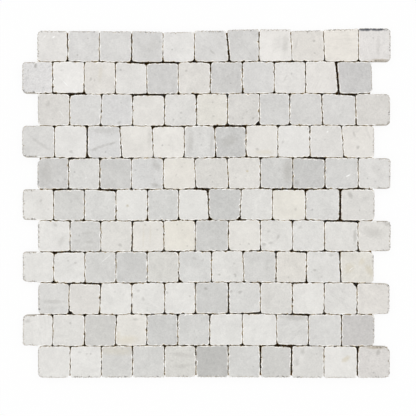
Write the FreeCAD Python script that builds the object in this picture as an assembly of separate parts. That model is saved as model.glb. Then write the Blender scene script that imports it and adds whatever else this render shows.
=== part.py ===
"""Mosaic tile sheet of tumbled marble: eleven courses of eleven small stones in running bond, held together
by an open glass-fibre net on their backs. Each stone is a separate block with worn corners and edges.

Millimetres. X runs along the courses and Y up the sheet as it is seen from the front. Z is the thickness.
The origin is the middle of the sheet on its back face, where the net lies against the wall or floor.
"""
import FreeCAD, Part
import math
import os
import random

# Bond of the sheet
COURSES = 11
STONES_PER_COURSE = 11
COURSE_LENGTH = 306.0
COURSE_PITCH = 27.5
BOND_SHIFT = 14.0  # how far one course steps sideways from the next
MAKE_UP_STONES = 2  # the last stones of a course are longer ones, picked to make up its length
MAKE_UP_EXTRA = 1.5  # how much longer each of them is

# How the hand-set stones stray from that bond. The stones between two named joints share the difference.
LINE_SLIPS = {  # line between courses, from 0 at the top: how far up it lies
    0: -0.3, 2: -0.3, 3: -0.4, 4: -0.8, 5: -0.4, 6: -0.2, 7: 0.4, 8: 0.8, 9: 0.9, 10: 0.9, 11: 0.3,
}
JOINT_SLIPS = {  # course from the top: upright joint from the left, and how far to the right it lies
    1: {0: -1.9, 1: -2.3, 2: -2.4, 3: -1.8, 4: -2.5, 5: -2.6, 6: -1.0, 7: -1.4, 8: -0.9, 9: -0.3, 10: 0.6},
    2: {0: -0.8, 1: -1.7, 2: -1.8, 4: -2.6, 8: -1.8, 9: -2.4, 10: -3.5, 11: -2.2},
    3: {0: -1.2, 1: -0.9, 5: -1.0, 7: -1.3, 8: -2.3, 10: -1.7, 11: -0.5},
    4: {0: -0.7, 1: 0.1, 2: 0.8, 3: 2.7, 4: 3.0, 5: 2.8, 7: 1.2, 9: 1.6, 10: 1.1, 11: -0.4},
    5: {0: -1.8, 1: -1.7, 2: -2.0, 5: -1.9, 8: 0.1, 9: 0.4, 11: 0.1},
    6: {0: -0.3, 1: -0.7, 2: -1.4, 4: -1.8, 5: -2.4, 6: -3.7, 8: -3.5, 9: -2.0, 10: -1.2, 11: 0.2},
    7: {0: -1.3, 1: -0.5, 3: -1.7, 5: -1.7, 6: -0.4, 8: 0.2, 10: 0.3, 11: 0.0},
    8: {0: -0.4, 1: -0.8, 3: -1.6, 5: -2.0, 7: -1.1, 8: -0.4, 9: -1.6, 11: -0.7},
    9: {0: -1.2, 1: -1.2, 2: -1.8, 3: -1.7, 4: -0.8, 5: -1.5, 6: -0.8, 9: 0.0, 10: -0.8, 11: -1.0},
    10: {0: -0.5, 1: -1.3, 2: -1.2, 3: -1.5, 5: -3.2, 7: -2.0, 8: 0.2, 10: -0.1, 11: 0.0},
    11: {0: -1.2, 1: -0.4, 3: -1.3, 5: -1.1, 7: -0.1, 8: -0.8, 9: -0.4, 11: -0.5},
}
LEANING_JOINTS = {  # (course, joint): how much further to the right its foot is than its top
    (1, 6): 2.4, (1, 8): 1.3, (1, 9): 1.2, (2, 4): 0.8, (2, 10): 2.0, (2, 11): 0.9, (3, 2): -1.0, (3, 9): 1.1,
    (3, 10): 0.7, (4, 3): 1.6, (4, 4): 1.1, (4, 6): 1.1, (4, 10): 1.8, (5, 5): 1.0, (5, 6): 1.5, (6, 6): 0.9,
    (6, 7): -0.9, (8, 7): 1.2, (8, 10): 1.1, (9, 2): -1.0, (10, 3): -1.3, (10, 8): 0.7,
}

# Stones
STONE_THICKNESS = 10.0
THICKNESS_SPREAD = 0.35  # either side of the thickness
CORNER_RADIUS = 1.4
END_CORNER_RADIUS = 2.6  # of the corners at the two ends of a course
CORNER_SPREAD = 0.6
CORNER_FACETS = 2
FACE_EDGE_WEAR = 0.6  # bevel that tumbling leaves round the face
BACK_EDGE_WEAR = 0.5
WEAR_SPREAD = 0.15
MOST_WEAR_OF_CORNER = 0.85  # a bevel stays under this share of the smallest corner radius

# Joints between stones, which are left open for grout
TIGHT_JOINT = 0.25  # the least gap between two stones
SIDE_WEAR = 0.4  # the most that a side lies back from its tight joint
JOINT_WANDER = 0.2  # either way along the course, beside the strays above
COURSE_DRIFT = 0.35  # height of the slow wave in the courses
DRIFT_WAVELENGTH = 260.0
DRIFT_START = -0.6  # radians that the wave is ahead at the top of the sheet
DRIFT_STEP = 0.2  # radians that the wave moves on from one course to the next

# Upright joints that the setter left wide, as (course, joint): extra gap
WIDE_JOINTS = {
    (1, 1): 0.3, (1, 3): 0.4, (1, 6): 0.5, (2, 10): 1.2, (3, 5): 0.3, (4, 2): 0.7, (4, 3): 0.3, (5, 2): 0.4,
    (5, 7): 0.4, (6, 6): 0.4, (6, 9): 0.4, (6, 10): 1.2, (7, 3): 0.4, (8, 8): 0.4, (8, 10): 0.5, (9, 3): 0.3,
    (9, 6): 0.6, (11, 7): 0.4, (11, 8): 0.7, (11, 10): 0.6,
}

LOWER_LEFT, LOWER_RIGHT, UPPER_RIGHT, UPPER_LEFT = range(4)

# Corners of stones that are short of their course line, as (course, stone, corner): extra gap there. Those
# below zero stand out over the line instead, mostly along the free top edge.
SHORT_CORNERS = {
    (1, 4, UPPER_LEFT): -0.3, (1, 4, UPPER_RIGHT): 0.5, (1, 5, UPPER_LEFT): 0.6, (1, 5, UPPER_RIGHT): 0.6,
    (1, 6, UPPER_LEFT): -0.6, (1, 6, UPPER_RIGHT): -0.6, (1, 7, UPPER_LEFT): -1.3, (1, 7, UPPER_RIGHT): -1.4,
    (1, 8, UPPER_LEFT): -1.4, (1, 8, UPPER_RIGHT): -1.2, (1, 9, UPPER_LEFT): 0.3, (1, 9, UPPER_RIGHT): -0.2,
    (1, 10, UPPER_LEFT): -0.9, (1, 10, UPPER_RIGHT): -1.5, (1, 11, UPPER_LEFT): -2.2,
    (1, 11, UPPER_RIGHT): -2.2, (2, 2, LOWER_LEFT): 0.7, (2, 2, LOWER_RIGHT): 0.7, (2, 4, UPPER_RIGHT): 1.5,
    (2, 5, UPPER_LEFT): 0.7, (2, 5, UPPER_RIGHT): 0.8, (2, 6, UPPER_RIGHT): 0.6, (2, 9, UPPER_LEFT): 0.8,
    (3, 2, UPPER_LEFT): 0.7, (3, 4, UPPER_LEFT): 1.1, (3, 4, UPPER_RIGHT): 1.0, (3, 10, UPPER_RIGHT): 1.5,
    (3, 11, UPPER_RIGHT): -0.7, (4, 5, UPPER_LEFT): 0.8, (4, 5, UPPER_RIGHT): 0.8, (4, 7, UPPER_LEFT): 0.9,
    (4, 7, UPPER_RIGHT): 1.1, (4, 11, LOWER_RIGHT): 0.3, (5, 2, UPPER_LEFT): 0.7, (5, 6, LOWER_LEFT): 0.8,
    (5, 9, UPPER_RIGHT): 1.2, (5, 10, LOWER_RIGHT): 0.5, (5, 11, LOWER_LEFT): 0.6, (5, 11, UPPER_RIGHT): -0.7,
    (6, 2, UPPER_LEFT): 0.7, (6, 3, UPPER_RIGHT): 1.4, (6, 6, UPPER_RIGHT): 1.0, (6, 9, UPPER_LEFT): 0.8,
    (6, 9, UPPER_RIGHT): 0.7, (6, 10, UPPER_LEFT): 0.8, (7, 4, UPPER_LEFT): 0.7, (7, 10, UPPER_LEFT): 0.8,
    (7, 10, UPPER_RIGHT): 0.9, (8, 2, UPPER_LEFT): 0.8, (8, 9, UPPER_RIGHT): 0.8, (9, 2, UPPER_LEFT): 0.6,
    (9, 2, UPPER_RIGHT): 0.8, (9, 7, LOWER_RIGHT): 1.2, (9, 9, UPPER_LEFT): 0.7, (10, 9, LOWER_LEFT): 0.9,
    (10, 9, UPPER_RIGHT): 1.2, (11, 8, UPPER_RIGHT): 0.9,
}

# Corners that broke off in the tumbler, as (course, stone, corner): length of the break along each side
BROKEN_CORNERS = {
    (3, 7, LOWER_RIGHT): 3.6,
    (5, 1, UPPER_LEFT): 3.8,
    (6, 7, LOWER_LEFT): 3.0,
    (6, 7, LOWER_RIGHT): 2.2,
    (8, 6, LOWER_LEFT): 2.4,
    (9, 2, LOWER_LEFT): 3.4,
    (9, 10, UPPER_RIGHT): 3.6,
    (11, 1, LOWER_RIGHT): 2.6,
    (11, 11, UPPER_RIGHT): 3.2,
}

# Glass-fibre net: warp yarns lie underneath, weft yarns between them and the stones
NET_PITCH = 5.0
YARN_WIDTH = 0.9
YARN_THICKNESS = 0.25
NET_MARGIN = 4.5  # the net stops this far inside the shorter outline of the courses

SHEET_SEED = 4127

back_of_stones = 2 * YARN_THICKNESS
plain_length = (COURSE_LENGTH - MAKE_UP_STONES * MAKE_UP_EXTRA) / STONES_PER_COURSE


def chance(*key):
    """A repeatable source of the small differences of one stone, joint or course."""
    return random.Random(f"{SHEET_SEED}:{key}")


def course_line(line, x):
    """Height of the line between two courses at x, where line 0 is the top edge of the sheet."""
    wave = math.sin(2 * math.pi * x / DRIFT_WAVELENGTH + DRIFT_START + DRIFT_STEP * line)
    return (COURSES / 2 - line) * COURSE_PITCH + LINE_SLIPS.get(line, 0.0) + COURSE_DRIFT * wave


def course_shift(course):
    """Courses 1, 3, 5 and so on step to the right, and the others to the left."""
    side = 1 if course % 2 else -1
    return side * BOND_SHIFT / 2


def joint_slip(course, joint):
    """How far to the right an upright joint strays: evenly from one named joint to the next."""
    named = {0: 0.0, STONES_PER_COURSE: 0.0, **JOINT_SLIPS.get(course, {})}
    left = max(place for place in named if place <= joint)
    right = min(place for place in named if place >= joint)
    share = (joint - left) / max(right - left, 1)
    return named[left] + share * (named[right] - named[left])


def joint_place(course, joint):
    """X of an upright joint line. Joint 0 is the left end of the course and the last one its right end."""
    make_up = max(0, joint - (STONES_PER_COURSE - MAKE_UP_STONES)) * MAKE_UP_EXTRA
    regular = joint * plain_length + make_up - COURSE_LENGTH / 2 + course_shift(course)
    wander = chance("joint", course, joint).uniform(-JOINT_WANDER, JOINT_WANDER)
    return regular + joint_slip(course, joint) + wander


def side_gap(course, joint, wear):
    """Distance from an upright joint line to the side of a stone that faces it."""
    return (TIGHT_JOINT + WIDE_JOINTS.get((course, joint), 0.0)) / 2 + wear


def stone_corners(course, stone):
    """The four corners of a stone, anticlockwise from the lower left, before they are rounded."""
    draw = chance("stone", course, stone)
    corners = []
    places = ((stone - 1, course), (stone, course), (stone, course - 1), (stone - 1, course - 1))
    for corner, (joint, line) in enumerate(places):
        to_the_right = 1 if joint < stone else -1
        upwards = 1 if line == course else -1
        x_line = joint_place(course, joint) + upwards * LEANING_JOINTS.get((course, joint), 0.0) / 2
        x = x_line + to_the_right * side_gap(course, joint, draw.uniform(0, SIDE_WEAR))
        short = SHORT_CORNERS.get((course, stone, corner), 0.0)
        y = course_line(line, x_line) + upwards * (TIGHT_JOINT / 2 + draw.uniform(0, SIDE_WEAR) + short)
        corners.append(FreeCAD.Vector(x, y, back_of_stones))
    return corners


def worn_corner(corner, before, after, radius):
    """Points along the arc of the given radius that rounds the corner between its two neighbours."""
    to_before = (before - corner).normalize()
    to_after = (after - corner).normalize()
    half_angle = to_before.getAngle(to_after) / 2
    centre = corner + (to_before + to_after).normalize() * (radius / math.sin(half_angle))
    spoke = corner + to_before * (radius / math.tan(half_angle)) - centre
    turn = math.pi - 2 * half_angle
    points = []
    for step in range(CORNER_FACETS + 1):
        angle = math.degrees(turn * step / CORNER_FACETS)
        points.append(centre + FreeCAD.Rotation(FreeCAD.Vector(0, 0, 1), angle).multVec(spoke))
    return points


def broken_corner(corner, before, after, length):
    """The two ends of a straight break across the corner."""
    to_before = (before - corner).normalize()
    to_after = (after - corner).normalize()
    return [corner + to_before * length, corner + to_after * length]


def usual_radius(stone, corner):
    """Corners at the two ends of a course are worn rounder than those between stones."""
    end_corners = {1: (LOWER_LEFT, UPPER_LEFT), STONES_PER_COURSE: (LOWER_RIGHT, UPPER_RIGHT)}
    return END_CORNER_RADIUS if corner in end_corners.get(stone, ()) else CORNER_RADIUS


def make_stone(course, stone):
    """One tumbled block: its outline drawn up to its thickness, with the edges of face and back worn off."""
    draw = chance("wear", course, stone)
    corners = stone_corners(course, stone)
    radii = [usual_radius(stone, place) + draw.uniform(-CORNER_SPREAD, CORNER_SPREAD) for place in range(4)]
    outline = []
    for place, corner in enumerate(corners):
        before = corners[place - 1]
        after = corners[(place + 1) % len(corners)]
        break_length = BROKEN_CORNERS.get((course, stone, place))
        if break_length:
            outline += broken_corner(corner, before, after, break_length)
        else:
            outline += worn_corner(corner, before, after, radii[place])
    thickness = STONE_THICKNESS + draw.uniform(-THICKNESS_SPREAD, THICKNESS_SPREAD)
    block = Part.Face(Part.makePolygon(outline + outline[:1])).extrude(FreeCAD.Vector(0, 0, thickness))
    most_wear = MOST_WEAR_OF_CORNER * min(radii)
    for height, wear in ((back_of_stones + thickness, FACE_EDGE_WEAR), (back_of_stones, BACK_EDGE_WEAR)):
        bevel = min(wear + draw.uniform(-WEAR_SPREAD, WEAR_SPREAD), most_wear)
        rim = [edge for edge in block.Edges if all(abs(v.Z - height) < 1e-6 for v in edge.Vertexes)]
        block = block.makeChamfer(bevel, rim)
    return block


def make_course(course):
    """The stones of one course, side by side and not touching."""
    return [make_stone(course, stone) for stone in range(1, STONES_PER_COURSE + 1)]


def yarn_places(reach):
    """Places of parallel yarns across a net that reaches this far each way from its middle."""
    each_way = int((reach - YARN_WIDTH / 2) / NET_PITCH)
    return [NET_PITCH * step for step in range(-each_way, each_way + 1)]


def make_net():
    """Warp yarns up the sheet and weft yarns along it, bonded where they cross."""
    reach_x = (COURSE_LENGTH - BOND_SHIFT) / 2 - NET_MARGIN
    reach_y = COURSES * COURSE_PITCH / 2 - NET_MARGIN
    warp = [
        Part.makeBox(YARN_WIDTH, 2 * reach_y, YARN_THICKNESS, FreeCAD.Vector(x - YARN_WIDTH / 2, -reach_y, 0))
        for x in yarn_places(reach_x)
    ]
    weft = [
        Part.makeBox(2 * reach_x, YARN_WIDTH, YARN_THICKNESS,
                     FreeCAD.Vector(-reach_x, y - YARN_WIDTH / 2, YARN_THICKNESS))
        for y in yarn_places(reach_y)
    ]
    return warp, weft


def save(node, solids):
    Part.makeCompound(solids).exportStep(f"parts/{node}.step")


os.makedirs("parts", exist_ok=True)
for course_number in range(1, COURSES + 1):
    save(f"stone_course_{course_number:02d}", make_course(course_number))
net_warp, net_weft = make_net()
save("net_warp", net_warp)
save("net_weft", net_weft)
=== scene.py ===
"""Mosaic tile sheet: tumbled marble stones in running bond, held by an open glass-fibre net on their backs.

Points are worked out in millimetres and go into the meshes in metres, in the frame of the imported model: X
along the courses, Y up the sheet as it is seen from its face, Z out of the face, and the floor at the
underside.
"""
import math

import bpy
import numpy as np
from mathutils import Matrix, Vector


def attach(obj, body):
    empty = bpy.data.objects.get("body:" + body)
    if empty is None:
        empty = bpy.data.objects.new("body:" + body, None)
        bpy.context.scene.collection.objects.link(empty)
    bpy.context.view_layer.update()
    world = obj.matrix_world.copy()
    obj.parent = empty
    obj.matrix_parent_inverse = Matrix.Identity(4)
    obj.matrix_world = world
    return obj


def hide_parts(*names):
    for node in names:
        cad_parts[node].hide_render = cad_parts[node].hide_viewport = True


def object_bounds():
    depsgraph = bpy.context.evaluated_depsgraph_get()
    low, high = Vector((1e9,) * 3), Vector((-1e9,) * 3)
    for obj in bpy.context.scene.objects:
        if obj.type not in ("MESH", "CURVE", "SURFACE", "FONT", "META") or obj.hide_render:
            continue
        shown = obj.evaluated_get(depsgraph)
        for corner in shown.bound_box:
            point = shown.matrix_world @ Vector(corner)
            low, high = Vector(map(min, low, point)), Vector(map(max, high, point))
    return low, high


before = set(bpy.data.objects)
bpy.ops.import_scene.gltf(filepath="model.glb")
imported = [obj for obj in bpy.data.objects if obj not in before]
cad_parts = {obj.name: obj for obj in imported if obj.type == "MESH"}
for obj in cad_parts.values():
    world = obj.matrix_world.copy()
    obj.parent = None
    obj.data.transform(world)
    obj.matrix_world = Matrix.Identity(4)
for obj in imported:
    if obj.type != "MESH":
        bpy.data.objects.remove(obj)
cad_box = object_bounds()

# Blocks for the stones
# Each stone starts as a block sawn and split from a slab of white or grey marble, about 27 mm square and
# 10 mm thick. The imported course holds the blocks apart, and each one's outline and faces are read from it.
MM = 0.001
BODY = "root"
AROUND = 240  # points round a stone
CORNER_BLUR = 0.3  # mm along the outline over which the tumbler rounds a corner
SHOULDER_FALL = 0.22  # mm that the sides fall back towards the corners
SHOULDER_WAVES = (2, 9)  # slowest and fastest waves of a ripple, to the round of the stone
SHOULDER_MOST = 2.2  # times that fall
ROW_MOVE = 1.6  # about how far a ripple's waves move on from one row of points to the next, in radians
course_nodes = sorted(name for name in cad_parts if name.startswith("stone_course"))


def points_of(node_name):
    """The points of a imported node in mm. Its triangles are loose, so a corner comes once for each of them."""
    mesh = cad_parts[node_name].data
    points = np.empty(len(mesh.vertices) * 3)
    mesh.vertices.foreach_get("co", points)
    return points.reshape(-1, 3) / MM


def blocks_in(node_name):
    """The corner points of each block of a course, in mm, from the left. Every point starts with a number of
    its own, and points joined by an edge take the lower of their two numbers until none changes."""
    points, merged = np.unique(np.round(points_of(node_name), 4), axis=0, return_inverse=True)
    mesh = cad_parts[node_name].data
    ends = np.empty(len(mesh.edges) * 2, int)
    mesh.edges.foreach_get("vertices", ends)
    ends = merged.reshape(-1)[ends].reshape(-1, 2)
    number = np.arange(len(points))
    while True:
        lower = number.copy()
        np.minimum.at(lower, ends, number[ends].min(axis=1, keepdims=True))
        if (lower == number).all():
            break
        number = lower
    blocks = [points[number == one] for one in np.unique(number)]
    return sorted(blocks, key=lambda block: block[:, 0].mean())


def ripple(draw, slowest, fastest, rows=1):
    """Rows of smooth chance heights round a stone, about 1 in size: the sum of cosines with slowest to
    fastest whole waves to the round, each with its own height and start. The start moves on from row to
    row."""
    waves = np.arange(slowest, fastest + 1)[:, None, None]
    heights = draw.normal(size=waves.shape)
    starts = draw.uniform(0, 2 * np.pi, waves.shape)
    moves = draw.normal(0, ROW_MOVE, waves.shape) * np.arange(rows)[None, :, None]
    turns = 2 * np.pi * np.arange(AROUND)[None, None, :] / AROUND
    return (heights * np.cos(waves * turns + starts + moves)).sum(axis=0) / math.sqrt(len(waves) / 2)


def along_sides(outline):
    """For each point of an outline, how far it is along its side, from 0 at a corner to 1 in the middle, and
    whether that side runs along the course."""
    offset = outline - outline.mean()
    across = np.abs(offset.real) / np.abs(offset.real).max()
    up = np.abs(offset.imag) / np.abs(offset.imag).max()
    return 1 - np.minimum(across, up) / np.maximum(across, up), up > across


def tumbled_outline(block, draw):
    """Evenly spaced points round a block as complex numbers, anticlockwise. The straight outline is put into
    waves round the block, and a wave is lowered by exp(-(2 pi blur / wavelength)^2 / 2), which rounds the
    corners. The sides then fall back to the corners by the shoulder fall times (1 - place along the side)^3
    and a ripple."""
    sides = block[np.isclose(block[:, 2], np.unique(block[:, 2])[1])]
    corners = sides[:, 0] + 1j * sides[:, 1]
    corners = corners[np.argsort(np.angle(corners - corners.mean()))]
    corners = np.append(corners, corners[0])
    along = np.append(0, np.cumsum(np.abs(np.diff(corners))))
    steps = along[-1] * np.arange(AROUND) / AROUND
    straight = np.interp(steps, along, corners.real) + 1j * np.interp(steps, along, corners.imag)
    waves = np.fft.fftfreq(AROUND, 1 / AROUND)
    kept = np.exp(-((2 * np.pi * waves * CORNER_BLUR / along[-1]) ** 2) / 2)
    outline = np.fft.ifft(np.fft.fft(straight) * kept)
    fall = SHOULDER_FALL * (1 - along_sides(outline)[0]) ** 3
    fall *= np.clip(1 + ripple(draw, *SHOULDER_WAVES)[0], 0, SHOULDER_MOST)
    offset = outline - outline.mean()
    return outline.mean() + offset * (1 - fall / np.abs(offset))


# Tumbled stones
# The blocks are tumbled with grit and water. That rounds and bruises every edge, knocks small chips out of
# the rims and leaves the faces matt. The stones are then set face up, course by course, with open joints.
RIM_WEAR = 0.21  # mm from the face to the side, over the rounded rim
RIM_WEAR_SPREAD = 0.4  # as a share of it
RIM_WEAR_LIMITS = (0.45, 1.7)  # times it
RIM_WAVES = (3, 16)
CHIPS = (  # mm from the rim, waves, how high a wave has to be for a chip, and the most over that
    (0.34, (16, 84), 0.8, 1.4),
    (0.9, (6, 26), 1.5, 1),
)
CHIP_FOOT = 0.6  # share of a chip that is left at the foot of the rim
FACE_FALL = 0.07  # mm that the ground face falls away towards its edge
SIDE_ROUGHNESS = 0.08  # mm that the split sides go in and out
SIDE_WAVES = (8, 70)
OPEN_SIDE_ROUGHNESS = 0.22  # mm more of it on the open sides of the sheet
LOW_SIDE_EVENNESS = 0.75  # share of that roughness which is gone below the rim
OPEN_BITES = 0.5  # mm that bites go in from the rim of those sides
BITE_WAVES = (18, 60)
BITE_SHARE = (0.2, 2.2)  # a bite's share of that at a wave of no height, and the most
BACK_WEAR = 0.5  # mm
LEVEL_BULGE = (0.2, 0.8)  # share of the room that a side stands proud, at its corners and in its middle
UPRIGHT_BULGE = (0.2, 0.49)  # the same where the sides of two stones meet over their whole length
UPRIGHT_SHOULDER = 0.4  # share of the way to the middle over which they come to stand proud
BULGE_CLEAR = 0.01  # mm that is taken off it
BULGE_MOST = 0.7  # mm
BULGE_WAVES = (3, 22)
BULGE_PATCHES = (1.35, 2.2)  # the bulge's share at a wave of no height, and how much a wave changes it
WIDE_JOINT = (0.9, 1.4)  # mm of room over which a joint comes to stay open
WIDE_BULGE = 0.35  # share of the bulge that is left there
FACE_ROWS = ((0.5, 0), (0.86, 0.35))  # share of the way out, and share of the fall there
RIM_ROWS = np.linspace(0, 1, 5)
SIDE_ROWS = np.array([0.25, 0.65])
BACK_RIM_ROWS = np.array([0, 1])
NEAR_STONE = 45  # mm between the middles of stones that can touch
NO_NEIGHBOUR = (2.5, 3.5)  # mm of room over which a side becomes an open one
LET_IN_LIGHT = (1.6, 2.4)  # mm of room over which the dust on a side is painted paler, as painted light
SHEET_SEED = 57


def room_round(outline, others):
    """How far each point of an outline is from the nearest point of the others, in mm."""
    near = [other for other in others if 0 < abs(other.mean() - outline.mean()) < NEAR_STONE]
    return np.abs(outline[:, None] - np.concatenate(near)[None, :]).min(axis=1)


def bulge_into(room, outline, open_side, draw):
    """How far the side of a stone stands proud towards the next one, in mm: a share of the room between them,
    in patches, and less in a wide joint."""
    side_place, runs_along = along_sides(outline)
    level_share = np.interp(side_place, (0, 1), LEVEL_BULGE)
    upright_share = np.interp(side_place, (0, UPRIGHT_SHOULDER), UPRIGHT_BULGE)
    share = np.where(runs_along, level_share, upright_share)
    bulge = np.clip(share * room - BULGE_CLEAR, 0, BULGE_MOST) * (1 - open_side)
    bulge *= np.interp(room, WIDE_JOINT, (1, WIDE_BULGE))
    plain, change = BULGE_PATCHES
    return bulge * np.clip(plain + change * ripple(draw, *BULGE_WAVES)[0], 0, 1)


def stone_surface(block, outline, room, open_side, draw):
    """Rows of points from the face over the rim, down the side and in under the back, with the two middle
    points, and for each point how far past the face's edge it is. A point lies on the line from the middle of
    the stone to its outline, drawn in by the inset. Rim: inset = wear (1 - sin a), drop = wear (1 - cos a), a
    from 0 to 90 degrees. A chip adds an inset that is largest at the face. Sides: inset = roughness times a
    ripple, less the bulge. An open side is rougher, with bites out of its rim."""
    middle = outline.mean()
    reach = np.abs(outline - middle)
    back, face = block[:, 2].min(), block[:, 2].max()
    edge = face - FACE_FALL
    wear = RIM_WEAR * np.clip(1 + RIM_WEAR_SPREAD * ripple(draw, *RIM_WAVES)[0], *RIM_WEAR_LIMITS)
    chip = 0 * wear
    for depth, waves, start, most in CHIPS:
        chip += depth * np.clip(ripple(draw, *waves)[0] - start, 0, most)
    rough = np.abs(ripple(draw, *SIDE_WAVES, rows=len(RIM_ROWS) + len(SIDE_ROWS)))
    rough *= SIDE_ROUGHNESS + OPEN_SIDE_ROUGHNESS * open_side
    plain_bite, most_bite = BITE_SHARE
    rough += OPEN_BITES * np.clip(plain_bite + ripple(draw, *BITE_WAVES)[0], 0, most_bite) * open_side
    bulge = bulge_into(room, outline, open_side, draw)
    side_height = edge - wear - back - BACK_WEAR
    rows = []  # share of the way out, inset, height, distance past the face's edge
    for way_out, fall in FACE_ROWS:
        inset = wear + chip + rough[0] * open_side - bulge
        rows.append((way_out, inset, face - fall * FACE_FALL + 0 * wear, (way_out - 1) * reach))
    for step, turn in enumerate(RIM_ROWS):
        angle = turn * np.pi / 2
        rough_here = rough[step] * np.maximum(turn, open_side)
        inset = (wear + chip) * (1 - np.sin(angle)) + CHIP_FOOT * chip * turn + rough_here - bulge
        rows.append((1, inset, edge - wear * (1 - np.cos(angle)), wear * angle))
    for step, down in enumerate(SIDE_ROWS):
        rough_here = rough[len(RIM_ROWS) + step] * (1 - LOW_SIDE_EVENNESS * open_side)
        inset = CHIP_FOOT * chip * (1 - down) ** 2 + rough_here - bulge * (1 - down)
        rows.append((1, inset, edge - wear - down * side_height, wear * np.pi / 2 + down * side_height))
    for turn in BACK_RIM_ROWS:
        height = back + BACK_WEAR * (1 - turn) + 0 * wear
        rows.append((1, BACK_WEAR * turn + 0 * wear, height, face - height))
    way_out = np.array([row[0] for row in rows])[:, None]
    inset, height, past_edge = (np.array([row[kind] for row in rows]) for kind in (1, 2, 3))
    flat = middle + (outline - middle) * way_out * (1 - inset / reach)
    points = np.stack([flat.real, flat.imag, height], axis=-1)
    poles = np.array([[middle.real, middle.imag, face], [middle.real, middle.imag, back]])
    return points, poles, np.append(past_edge, [-reach.min(), face - back + reach.min()])


def placed(name, data):
    """An object with this mesh, light or camera, put in the scene."""
    made = bpy.data.objects.new(name, data)
    bpy.context.scene.collection.objects.link(made)
    return made


def closed_shapes(name, rows, poles):
    """One mesh of many like closed shapes. Each has rows of points from its first pole to its last, as many
    in each row, anticlockwise as seen from the first pole. Squares join a row to the next, and triangles join
    the end rows to the poles."""
    shapes, rings, around = rows.shape[:3]
    points = np.concatenate([rows.reshape(shapes, -1, 3), poles], axis=1)
    ring = np.arange(rings * around).reshape(rings, around)
    onward = np.roll(ring, -1, axis=1)
    squares = np.stack([ring[:-1], ring[1:], onward[1:], onward[:-1]], axis=-1).reshape(-1, 4)
    first_fan = np.stack([np.full(around, ring.size), ring[0], onward[0]], axis=-1)
    last_fan = np.stack([np.full(around, ring.size + 1), onward[-1], ring[-1]], axis=-1)
    fans = np.concatenate([first_fan, last_fan])
    starts = np.arange(shapes)[:, None, None] * points.shape[1]
    faces = (squares + starts).reshape(-1, 4).tolist() + (fans + starts).reshape(-1, 3).tolist()
    mesh = bpy.data.meshes.new(name)
    mesh.from_pydata((points.reshape(-1, 3) * MM).tolist(), [], faces)
    mesh.polygons.foreach_set("use_smooth", np.ones(len(faces), bool))
    return placed(name, mesh)


def carry(piece, name, values):
    """Gives every point of the piece a value of that name: one number, or three."""
    values = np.asarray(values, float)
    kind, slot = ("FLOAT", "value") if values.ndim == 1 else ("FLOAT_VECTOR", "vector")
    piece.data.attributes.new(name, kind, "POINT").data.foreach_set(slot, values.ravel())


# Shades of the marble
# The slabs run from white over pale grey to grey, with a few warm and cream ones, and the stones are mixed
# before they are set. A place is (course from the top, stone from the left). A stone that no set names is
# pale grey.
SLABS = {  # lightness on screen, how much lower blue is than red, how much pinker than most, grain
    "snow": (230, 5, 0, 0.55),
    "milk": (227, 8, 0, 0.5),
    "white": (224, 5.5, 0, 0.65),
    "bright": (219, 5.5, 0, 0.8),
    "pale": (214, 4, 0, 0.9),
    "ivory": (222, 8.5, 0, 0.6),
    "warm": (218, 8, 0, 0.8),
    "fawn": (218, 8, 0.4, 0.75),
    "butter": (226, 12, -0.3, 0.5),
    "cream": (223, 12, -0.2, 0.55),
    "straw": (223, 13, -0.8, 0.5),
    "sand": (217, 10.5, 0, 0.85),
    "olive": (218, 11, -0.8, 0.85),
    "buff": (216, 6, 0, 0.85),
    "beige": (212, 7, 0, 0.95),
    "putty": (210, 6.5, -0.3, 1),
    "steel": (213, 2.5, 0.3, 0.95),
    "grey": (209, 4, 0, 0.95),
    "drab": (204, 5, 0, 1),
    "dark": (203, 3.5, 0.1, 1),
    "slate": (199, 3, 0, 1.15),
    "smoke": (186, 4, 0, 1.1),
    "rose": (221, 6, 0.5, 1.05),
    "blush": (211, 6.5, 0.9, 1.2),
    "lilac": (218, 3, 0.5, 1.45),
    "plum": (197, 5, 1, 1.1),
}
STONES_OF = {
    "snow": {(2, 2)},
    "milk": {(1, 8), (4, 5)},
    "white": {(1, 1), (1, 5), (4, 2), (4, 9), (6, 1), (6, 4), (6, 6), (7, 1), (8, 1), (8, 2), (9, 3), (9, 4),
              (9, 5), (9, 9), (10, 1), (10, 7), (10, 8), (11, 1), (11, 2), (11, 10)},
    "bright": {(2, 4), (2, 9), (3, 5), (4, 10), (5, 11), (6, 8), (7, 8), (7, 9), (7, 10), (8, 7), (8, 10),
               (9, 10), (10, 2)},
    "ivory": {(2, 10), (3, 4), (4, 4), (4, 8), (4, 11), (7, 4), (7, 7), (10, 4)},
    "warm": {(1, 9), (2, 3), (2, 6), (5, 7), (7, 3), (7, 11)},
    "fawn": {(9, 2), (9, 11)},
    "butter": {(1, 10)},
    "cream": {(5, 5)},
    "straw": {(6, 9), (7, 5)},
    "sand": {(8, 9)},
    "olive": {(3, 6), (8, 11)},
    "buff": {(6, 11), (9, 8), (11, 9)},
    "beige": {(3, 1), (3, 7), (3, 11), (5, 6)},
    "putty": {(8, 5), (11, 5)},
    "steel": {(3, 3), (4, 3), (5, 4)},
    "grey": {(1, 4), (1, 7), (3, 8), (3, 9), (5, 8), (5, 10), (6, 2), (6, 5), (7, 2), (8, 3), (8, 8),
             (10, 6), (11, 3), (11, 4), (11, 7)},
    "drab": {(10, 3), (11, 8)},
    "dark": {(2, 5), (2, 7), (5, 1), (5, 3), (7, 6), (8, 4), (9, 6), (10, 5)},
    "slate": {(2, 11), (4, 7), (5, 9), (6, 7)},
    "smoke": {(11, 6)},
    "rose": {(1, 11)},
    "blush": {(11, 11)},
    "lilac": {(2, 1)},
    "plum": {(10, 11)},
}
GREEN = (0.75, 1.35)  # how far green lies over the mean of red and blue, in the upper and the lower courses
GREEN_COURSES = (2, 6)  # from the one to the other
GREEN_SIDES = 0.4  # less at the two sides of the sheet
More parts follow.
